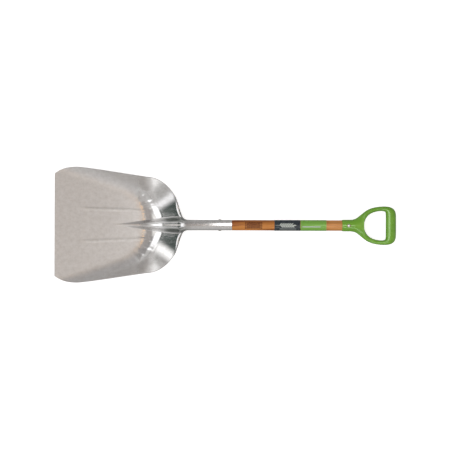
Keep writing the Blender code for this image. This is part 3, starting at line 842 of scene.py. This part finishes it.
def rivetTree():
    # a shank along z with a domed head at either end
    tree, given, output = startTree("rivetLayout", rivet)
    ball = node(tree, "GeometryNodeMeshUVSphere", {"Segments": 40, "Rings": 28, "Radius": 1.0}).outputs[0]
    place = node(tree, "GeometryNodeInputPosition").outputs[0]
    split = node(tree, "ShaderNodeSeparateXYZ", {0: place})
    upper = times(tree, sums(tree, "MAXIMUM", split.outputs[2], 0.0), given["Head Height"])
    lower = times(tree, sums(tree, "MINIMUM", split.outputs[2], 0.0), given["Head Rim"])
    domed = vectorOf(
        tree,
        times(tree, split.outputs[0], given["Head Radius"]),
        times(tree, split.outputs[1], given["Head Radius"]),
        sums(tree, "ADD", upper, lower),
    )
    dent = node(tree, "ShaderNodeTexNoise", {"Scale": 420.0, "Detail": 2.0, "Vector": place}).outputs["Fac"]
    dent = vectorOf(tree, z=times(tree, sums(tree, "SUBTRACT", dent, 0.5), 0.0002))
    head = {"Geometry": ball, "Position": domed, "Offset": dent}
    head = node(tree, "GeometryNodeSetPosition", head).outputs[0]
    head = node(tree, "GeometryNodeSetShadeSmooth", {"Geometry": head}).outputs[0]
    below = vectorOf(tree, z=times(tree, given["Reach"], -1.0))
    span = vectorOf(tree, z=times(tree, given["Reach"], 2.0))
    ends = {"Count": 2, "Start Location": below, "Offset": span}
    ends = node(tree, "GeometryNodeMeshLine", ends).outputs[0]
    index = node(tree, "GeometryNodeInputIndex").outputs[0]
    flip = vectorOf(tree, times(tree, sums(tree, "SUBTRACT", 1.0, index), math.pi))
    heads = {"Points": ends, "Instance": head, "Rotation": flip}
    heads = node(tree, "GeometryNodeInstanceOnPoints", heads).outputs[0]
    shank = {"Vertices": 40, "Radius": given["Shank Radius"], "Depth": times(tree, given["Reach"], 2.0)}
    shank = node(tree, "GeometryNodeMeshCylinder", shank).outputs[0]
    both = node(tree, "GeometryNodeJoinGeometry")
    tree.links.new(heads, both.inputs[0])
    tree.links.new(shank, both.inputs[0])
    endTree(tree, output, both.outputs[0], steel)
    return tree


ear = {
    "Length": 0.044,
    "Grains": 6,
    "Grain Length": 0.0115,
    "Grain Width": 0.0042,
    "Lean": 0.80,
    "Stem": 0.0009,
    "Wrap": 0.01816,
}


def earTree():
    # two rows of grains leaning out from a stem, and one at the tip, wrapped round the shaft
    tree, given, output = startTree("earLayout", ear)
    disc = {"Vertices": 20, "Radius": 0.5}
    disc = node(tree, "GeometryNodeMeshCircle", disc, fill_type="TRIANGLE_FAN").outputs[0]
    place = node(tree, "GeometryNodeInputPosition").outputs[0]
    split = node(tree, "ShaderNodeSeparateXYZ", {0: place})
    taper = sums(tree, "SUBTRACT", 1.0, times(tree, split.outputs[0], 1.1))
    oval = vectorOf(
        tree,
        times(tree, sums(tree, "ADD", split.outputs[0], 0.5), given["Grain Length"]),
        times(tree, times(tree, split.outputs[1], taper), given["Grain Width"]),
        0.0,
    )
    grain = node(tree, "GeometryNodeSetPosition", {"Geometry": disc, "Position": oval}).outputs[0]
    spread = sums(tree, "DIVIDE", given["Length"], given["Grains"])
    both = node(tree, "GeometryNodeJoinGeometry")
    for side in (1.0, -1.0):
        line = {
            "Count": given["Grains"],
            "Start Location": vectorOf(tree, times(tree, spread, 0.25 * (1 - side))),
            "Offset": vectorOf(tree, spread),
        }
        line = node(tree, "GeometryNodeMeshLine", line).outputs[0]
        lean = vectorOf(tree, z=times(tree, given["Lean"], side))
        row = {"Points": line, "Instance": grain, "Rotation": lean}
        row = node(tree, "GeometryNodeInstanceOnPoints", row)
        tree.links.new(row.outputs[0], both.inputs[0])
    tip = {"Geometry": grain, "Translation": vectorOf(tree, given["Length"])}
    tip = node(tree, "GeometryNodeTransform", tip).outputs[0]
    tree.links.new(tip, both.inputs[0])
    strip = {
        "Size X": times(tree, given["Length"], 1.35),
        "Size Y": given["Stem"],
        "Vertices X": 24,
        "Vertices Y": 3,
    }
    strip = node(tree, "GeometryNodeMeshGrid", strip).outputs[0]
    stem = {"Geometry": strip, "Translation": vectorOf(tree, times(tree, given["Length"], 0.33))}
    stem = node(tree, "GeometryNodeTransform", stem).outputs[0]
    tree.links.new(stem, both.inputs[0])
    real = node(tree, "GeometryNodeRealizeInstances", {"Geometry": both.outputs[0]}).outputs[0]
    fine = node(tree, "GeometryNodeSubdivideMesh", {"Mesh": real, "Level": 1}).outputs[0]
    flat = node(tree, "ShaderNodeSeparateXYZ", {0: node(tree, "GeometryNodeInputPosition").outputs[0]})
    angle = sums(tree, "DIVIDE", flat.outputs[1], given["Wrap"])
    wrapped = vectorOf(
        tree,
        flat.outputs[0],
        times(tree, sums(tree, "SINE", angle), given["Wrap"]),
        times(tree, sums(tree, "COSINE", angle), given["Wrap"]),
    )
    bent = node(tree, "GeometryNodeSetPosition", {"Geometry": fine, "Position": wrapped}).outputs[0]
    endTree(tree, output, bent, ink)
    return tree


print("rivets and printed ear")
rivetLayout = rivetTree()
socketRivet = growPiece("socketRivet", rivetLayout, {**rivet, "Reach": rivetReach["socket"]})
socketRivet.data.transform(
    Matrix.Translation((rivetPlaces["socket"], 0, 0)) @ Matrix.Rotation(math.pi / 2, 4, "X")
)
settle(socketRivet, "socket_rivet", "rivet_steel")
gripRivet = growPiece("gripRivet", rivetLayout, {**rivet, "Reach": rivetReach["grip"]})
gripRivet.data.transform(Matrix.Translation((rivetPlaces["grip"], 0, 0)))
settle(gripRivet, "grip_rivet", "rivet_steel")

printedEar = growPiece("printedEar", earTree(), ear)
printedEar.data.transform(Matrix.Translation((darkStart + labels["earFrom"], 0, 0)))


def printInk(piece, slotName):  # give the flat print the thickness of a film of ink
    body = piece.modifiers.new("ink", "SOLIDIFY")
    body.thickness = labels["inkFilm"]
    body.offset = 0
    settle(piece, None, slotName)


printInk(printedEar, "dark_label_film")

rules = {  # a plain printed line on each label: from, length, width, turn round the shaft, slot
    "darkRule": (darkStart + 0.016, 0.056, 0.0016, -0.72, "dark_label_film"),
    "greenRule": (greenStart + 0.006, 0.060, 0.0032, -0.26, "green_label_film"),
}


def makeRule(name, start, length, width, turn, slotName):
    radius = shaft["radius"] + shaft["gap"] + labels["film"] + labels["inkFilm"]
    half = width / 2 / radius
    bm = bmesh.new()
    bmesh.ops.create_grid(bm, x_segments=60, y_segments=4, size=0.5)
    for vert in bm.verts:
        ragged = 1 + 0.10 * noise.noise(Vector((vert.co.x * length * 900, vert.co.y * 2, 0.4)))
        angle = turn + vert.co.y * 2 * half * ragged
        vert.co = (start + (vert.co.x + 0.5) * length, radius * math.sin(angle), radius * math.cos(angle))
    bmesh.ops.recalc_face_normals(bm, faces=bm.faces)
    printInk(addObject(name, meshFrom(bm, name), ink), slotName)


for name, sizes in rules.items():
    makeRule(name, *sizes)


# grip: half a cage of rings, mirrored and rounded

grip = {
    "neckRadius": 0.0195,
    "neckLength": 0.037,
    "boreRadius": 0.0178,
    "boreDepth": 0.0363,
    "crotch": 0.072,
    "length": 0.180,
    "halfWidth": 0.0641,
    "bar": 0.034,
    "armWidth": 0.0148,
    "armThickness": 0.025,
    "recessRadius": 0.0062,
    "recessDepth": 0.0020,
    "mouthEase": 0.0005,  # the rounding at the neck's mouth
    "partingWidth": 0.0004,
}
ringPoints = 12
cageSpread = 3 / (2 + math.cos(2 * math.pi / ringPoints))  # a rounded ring shrinks by this much


def gripRings():
    arm, bar = grip["armThickness"] / 2, grip["bar"] / 2
    wide, long, ease = grip["halfWidth"], grip["length"], grip["mouthEase"]
    neck, run, first = grip["neckRadius"], grip["neckLength"], grip["crotch"]
    inside = long - grip["bar"]
    innerHalf = wide - grip["armWidth"]
    flare, eye = first - run, inside - first
    halves = [
        ((0.0, neck - ease), (0.0, 0), neck - ease),
        ((0.0006, neck), (0.0006, 0), neck),
        ((0.004, neck), (0.004, 0), neck),
        ((run * 0.5, neck), (run * 0.5, 0), neck),
        ((run, neck), (run, 0), neck),
    ]
    halves += [
        (
            (run + flare * along, mix(neck, wide * 0.62, widen)),
            (run + flare * (along + 0.14 * widen), 0),
            mix(neck, arm * 1.15, along),
        )
        for along, widen in ((0.32, 0.25), (0.58, 0.61), (0.86, 1.0))
    ]
    wholes = [
        ((first + eye * 0.04, wide * 0.72), (first + eye * 0.045, innerHalf * 0.34), arm * 1.1),
        ((first + eye * 0.16, wide * 0.82), (first + eye * 0.16, innerHalf * 0.64), arm),
        ((first + eye * 0.34, wide * 0.915), (first + eye * 0.33, innerHalf * 0.84), arm),
        ((first + eye * 0.55, wide * 0.97), (first + eye * 0.54, innerHalf * 0.95), arm),
        ((first + eye * 0.76, wide), (first + eye * 0.75, innerHalf), arm * 1.05),
        ((inside - eye * 0.02, wide * 1.01), (inside - eye * 0.08, innerHalf * 0.985), mix(arm, bar, 0.5)),
        ((inside + bar * 0.9, wide * 0.985), (inside - eye * 0.01, innerHalf * 0.93), bar * 0.97),
        ((inside + bar * 1.66, wide * 0.86), (inside, innerHalf * 0.80), bar),
        ((long, wide * 0.66), (inside, innerHalf * 0.64), bar),
        ((long, wide * 0.36), (inside, wide * 0.36), bar),
        ((long, 0), (inside, 0), bar),
    ]
    return halves, wholes


def ringAt(outer, inner, thick, isHalf):
    outer, inner = Vector((*outer, 0)), Vector((*inner, 0))
    if isHalf:
        outer = inner.lerp(outer, cageSpread)
    else:
        middle = inner.lerp(outer, 0.5)
        outer, inner = middle.lerp(outer, cageSpread), middle.lerp(inner, cageSpread)
    thick *= cageSpread
    for i in range(ringPoints):
        angle = 2 * math.pi * i / ringPoints - math.pi / 2
        out, up = math.cos(angle), math.sin(angle)
        if isHalf:
            flat = inner.lerp(outer, max(0.0, out))
        else:
            flat = inner.lerp(outer, 0.5 + 0.5 * math.copysign(abs(out) ** 0.85, out))
            up = math.copysign(abs(up) ** 0.85, up)
        yield flat + Vector((gripMouth, 0, thick * up))


def makeGrip():
    halves, wholes = gripRings()
    bore, deep = grip["boreRadius"], grip["boreDepth"]
    throat = [((at, bore), (at, 0), bore) for at in (deep, deep - 0.0015, 0.004, 0.0006)]
    mouth = bore + grip["mouthEase"]
    halves = throat + [((0.0, mouth), (0.0, 0), mouth)] + halves
    rings = [(ring, True) for ring in halves] + [(ring, False) for ring in wholes]
    bm = bmesh.new()
    made = [[bm.verts.new(p) for p in ringAt(*ring, isHalf)] for ring, isHalf in rings]
    for i, (ring, following) in enumerate(zip(made, made[1:])):
        for k in range(ringPoints // 2 if i + 1 < len(halves) else ringPoints):
            n = (k + 1) % ringPoints
            bm.faces.new((ring[k], following[k], following[n], ring[n]))
    end = made[0]
    bm.faces.new((end[0], end[1], end[5], end[6]))
    bm.faces.new((end[1], end[2], end[4], end[5]))
    bm.faces.new(end[2:5])
    bmesh.ops.delete(bm, geom=[v for v in bm.verts if not v.link_faces])
    bmesh.ops.recalc_face_normals(bm, faces=bm.faces)
    mesh = meshFrom(bm, "dGrip")
    mesh.shade_smooth()
    piece = addObject("dGrip", mesh, green)
    mirror = piece.modifiers.new("other half", "MIRROR")
    mirror.use_axis = (False, True, False)
    mirror.merge_threshold = 1e-5
    mirror.use_clip = True
    rounding = piece.modifiers.new("rounding", "SUBSURF")
    rounding.levels = 3
    rounding.render_levels = 3
    cutters = []
    for side in (-1, 1):
        cutter = recessCutter(side)
        cut = piece.modifiers.new("recess", "BOOLEAN")
        cut.operation = "DIFFERENCE"
        cut.object = cutter
        cut.solver = "EXACT"
        cutters.append(cutter)
    whole = baked(piece)
    piece.modifiers.clear()
    piece.data = whole
    for cutter in cutters:
        bpy.data.objects.remove(cutter)
    weldAndTurnOut(whole)
    paintParting(whole)
    whole.shade_smooth()
    whole.set_sharp_from_angle(angle=math.radians(50))
    settle(piece, "d_grip", "green_plastic")


def recessCutter(side):
    seat = grip["neckRadius"] - grip["recessDepth"]
    wall = ((0.0, 0.0), (0.0012, 0.0001), (0.0017, 0.0004), (0.01, 0.004))  # up from the seat, out
    profile = [(seat, 0.0001)] + [(seat + up, grip["recessRadius"] + out) for up, out in wall]
    piece = turnedPiece("recessCutter", profile, None, 48)
    turn = Matrix.Rotation(-side * math.pi / 2, 4, "Y")
    piece.data.transform(Matrix.Translation((rivetPlaces["grip"], 0, 0)) @ turn)
    return piece


def weldAndTurnOut(mesh):  # join the cut edges, faces outwards
    bm = bmesh.new()
    bm.from_mesh(mesh)
    bmesh.ops.remove_doubles(bm, verts=bm.verts, dist=1e-7)
    bmesh.ops.recalc_face_normals(bm, faces=bm.faces)
    bm.to_mesh(mesh)
    bm.free()


def paintParting(mesh):  # the mould's two halves meet in a fine line all round the middle
    layer = mesh.attributes.new("parting", "FLOAT", "POINT")
    heights = np.zeros(len(mesh.vertices) * 3)
    mesh.vertices.foreach_get("co", heights)
    layer.data.foreach_set("value", np.exp(-((heights[2::3] / grip["partingWidth"]) ** 2)))


print("grip")
makeGrip()


# floor, lights and camera

studio = {
    "floorGlow": 0.68,
    "floorHalf": 12.0,
    "cameraLens": 180.0,
    "viewWidth": 1.5030,
    "aimAlong": 0.5670,
    "aimAcross": 0.0006,
    "roll": math.radians(0.20),
}


def makeFloor():
    finish, tree, shader = newFinish("paleFloor")
    place = objectSource(tree)
    tone = blendColour(tree, speckle(tree, place, 3.0, 3.0), (0.90, 0.90, 0.90), (0.94, 0.94, 0.94))
    shader.inputs["Roughness"].default_value = 0.9
    tree.links.new(tone, shader.inputs["Base Color"])
    tree.links.new(tone, shader.inputs["Emission Color"])
    shader.inputs["Emission Strength"].default_value = studio["floorGlow"]
    bm = bmesh.new()
    bmesh.ops.create_grid(bm, x_segments=2, y_segments=2, size=studio["floorHalf"])
    floor = addObject("floor", meshFrom(bm, "floor"), finish)
    floor.visible_diffuse = False  # the sky alone lights the undersides and shows in the metal
    floor.visible_glossy = False


sky = {  # what surrounds the object: degrees along the shaft and across it from straight overhead
    "base": (0.610, 0.598, 0.588),
    "patches": (
        # along from, to, across from, to, softness, colour
        (-180, -92, -90, 90, 3, (0.36, 0.36, 0.35)),
        (92, 180, -90, 90, 3, (0.36, 0.36, 0.35)),
        (-30, 60, 9, 90, 7, (0.36, 0.345, 0.34)),
        (-30, 60, -90, -12, 8, (0.56, 0.54, 0.53)),
        (-92, -60, -90, -30, 5, (0.52, 0.51, 0.50)),
        (-92, -60, 44, 90, 5, (0.48, 0.47, 0.46)),
        (-114, -80, -78, -53, 4, (1.20, 1.19, 1.18)),
        (-114, -80, 53, 76, 4, (1.10, 1.09, 1.08)),
        (-130, -90, -50, -33, 4, (0.11, 0.12, 0.11)),
        (-130, -90, 33, 50, 4, (0.11, 0.12, 0.11)),
        (-66, -33, -34, 36, 7, (1.60, 1.60, 1.64)),
        (-40, -20, -13, 13, 4, (1.05, 1.03, 1.00)),
        (-180, -70, -29, 30, 5, (0.075, 0.095, 0.087)),
        (-86, -66, 32, 42, 6, (1.50, 1.50, 1.50)),
        (-86, -66, -37, -30, 6, (1.30, 1.30, 1.33)),
        (-125, -67, -7, 7, 3, (0.80, 0.77, 0.75)),
        (-16, 9, -26, 26, 6, (0.43, 0.40, 0.385)),
        (10, 23, -17, -10, 2, (1.65, 1.04, 0.58)),
        (10, 23, -8, -4.5, 2, (1.50, 1.00, 0.60)),
        (10, 23, 4, 7.5, 2, (1.65, 1.04, 0.58)),
        (10, 23, 10, 16, 2, (1.50, 1.00, 0.60)),
    ),
    "backdrop": (0.93, 0.93, 0.93),
}


def within(tree, value, low, high, soft):  # 1 between two angles, fading over the softness
    edges = []
    for start, end in ((low - soft, low + soft), (high + soft, high - soft)):
        edge = {"Value": value, "From Min": math.radians(start), "From Max": math.radians(end)}
        edge = node(tree, "ShaderNodeMapRange", edge, interpolation_type="SMOOTHSTEP")
        edges.append(edge.outputs[0])
    return times(tree, *edges)


def makeLight():
    world = bpy.data.worlds.new("studio")
    scene.world = world
    world.use_nodes = True
    tree = world.node_tree
    direction = node(tree, "ShaderNodeTexCoord").outputs["Generated"]
    parts = []
    for axis in (alongShaft, acrossTool, outOfPan):
        part = node(tree, "ShaderNodeVectorMath", {0: direction, 1: axis}, operation="DOT_PRODUCT")
        parts.append(part.outputs["Value"])
    along = sums(tree, "ARCTAN2", parts[0], parts[2])
    across = node(tree, "ShaderNodeMath", {0: parts[1]}, operation="ARCSINE").outputs[0]
    shade = node(tree, "ShaderNodeRGB").outputs[0]
    shade.default_value = (*sky["base"], 1.0)
    for low, high, left, right, soft, colour in sky["patches"]:
        inLength, inWidth = within(tree, along, low, high, soft), within(tree, across, left, right, soft)
        mask = times(tree, inLength, inWidth)
        shade = blendColour(tree, mask, shade, colour)
    seen = node(tree, "ShaderNodeLightPath").outputs["Is Camera Ray"]
    shade = blendColour(tree, seen, shade, sky["backdrop"])
    tree.links.new(shade, tree.nodes["Background"].inputs["Color"])
    tree.nodes["Background"].inputs["Strength"].default_value = 1.0


softboxes = {  # name: middle in the tool's own frame, size along and across, power, what it lights
    "overSocket": ((0.572, 0.060, 0.20), (0.085, 0.22), 0.11, "gloss"),
    "overGrip": ((0.970, 0.004, 0.30), (0.20, 0.09), 0.28, "gloss"),
    "lowStrip": ((1.00, -0.55, 0.65), (0.50, 0.07), 0.90, "gloss"),
    "fill": ((0.57, 0.3, 3.0), (2.6, 2.6), 18.0, "body"),
    "key": ((0.40, -2.2, 2.4), (1.8, 1.2), 12.0, "body"),
}


def makeSoftboxes():
    for name, (middle, size, power, lit) in softboxes.items():
        light = bpy.data.lights.new(name, "AREA")
        light.shape = "RECTANGLE"
        light.size, light.size_y = size
        light.energy = power
        made = bpy.data.objects.new(name, light)
        scene.collection.objects.link(made)
        aim = (Vector((middle[0], 0, 0)) - Vector(middle)).to_track_quat("-Z", "Y").to_matrix().to_4x4()
        made.matrix_world = toolToGround @ Matrix.Translation(middle) @ aim
        made.visible_camera = False
        made.visible_diffuse = lit == "body"
        made.visible_glossy = lit == "gloss"


def makeCamera():
    camera = bpy.data.cameras.new("camera")
    camera.lens = studio["cameraLens"]
    camera.clip_end = 50
    made = bpy.data.objects.new("camera", camera)
    scene.collection.objects.link(made)
    distance = studio["viewWidth"] * camera.lens / camera.sensor_width
    aim = Matrix.Translation((studio["aimAlong"], studio["aimAcross"], distance))
    made.matrix_world = toolToGround @ aim @ Matrix.Rotation(studio["roll"], 4, "Z")
    scene.camera = made


print("studio")
makeFloor()
makeLight()
makeSoftboxes()
makeCamera()
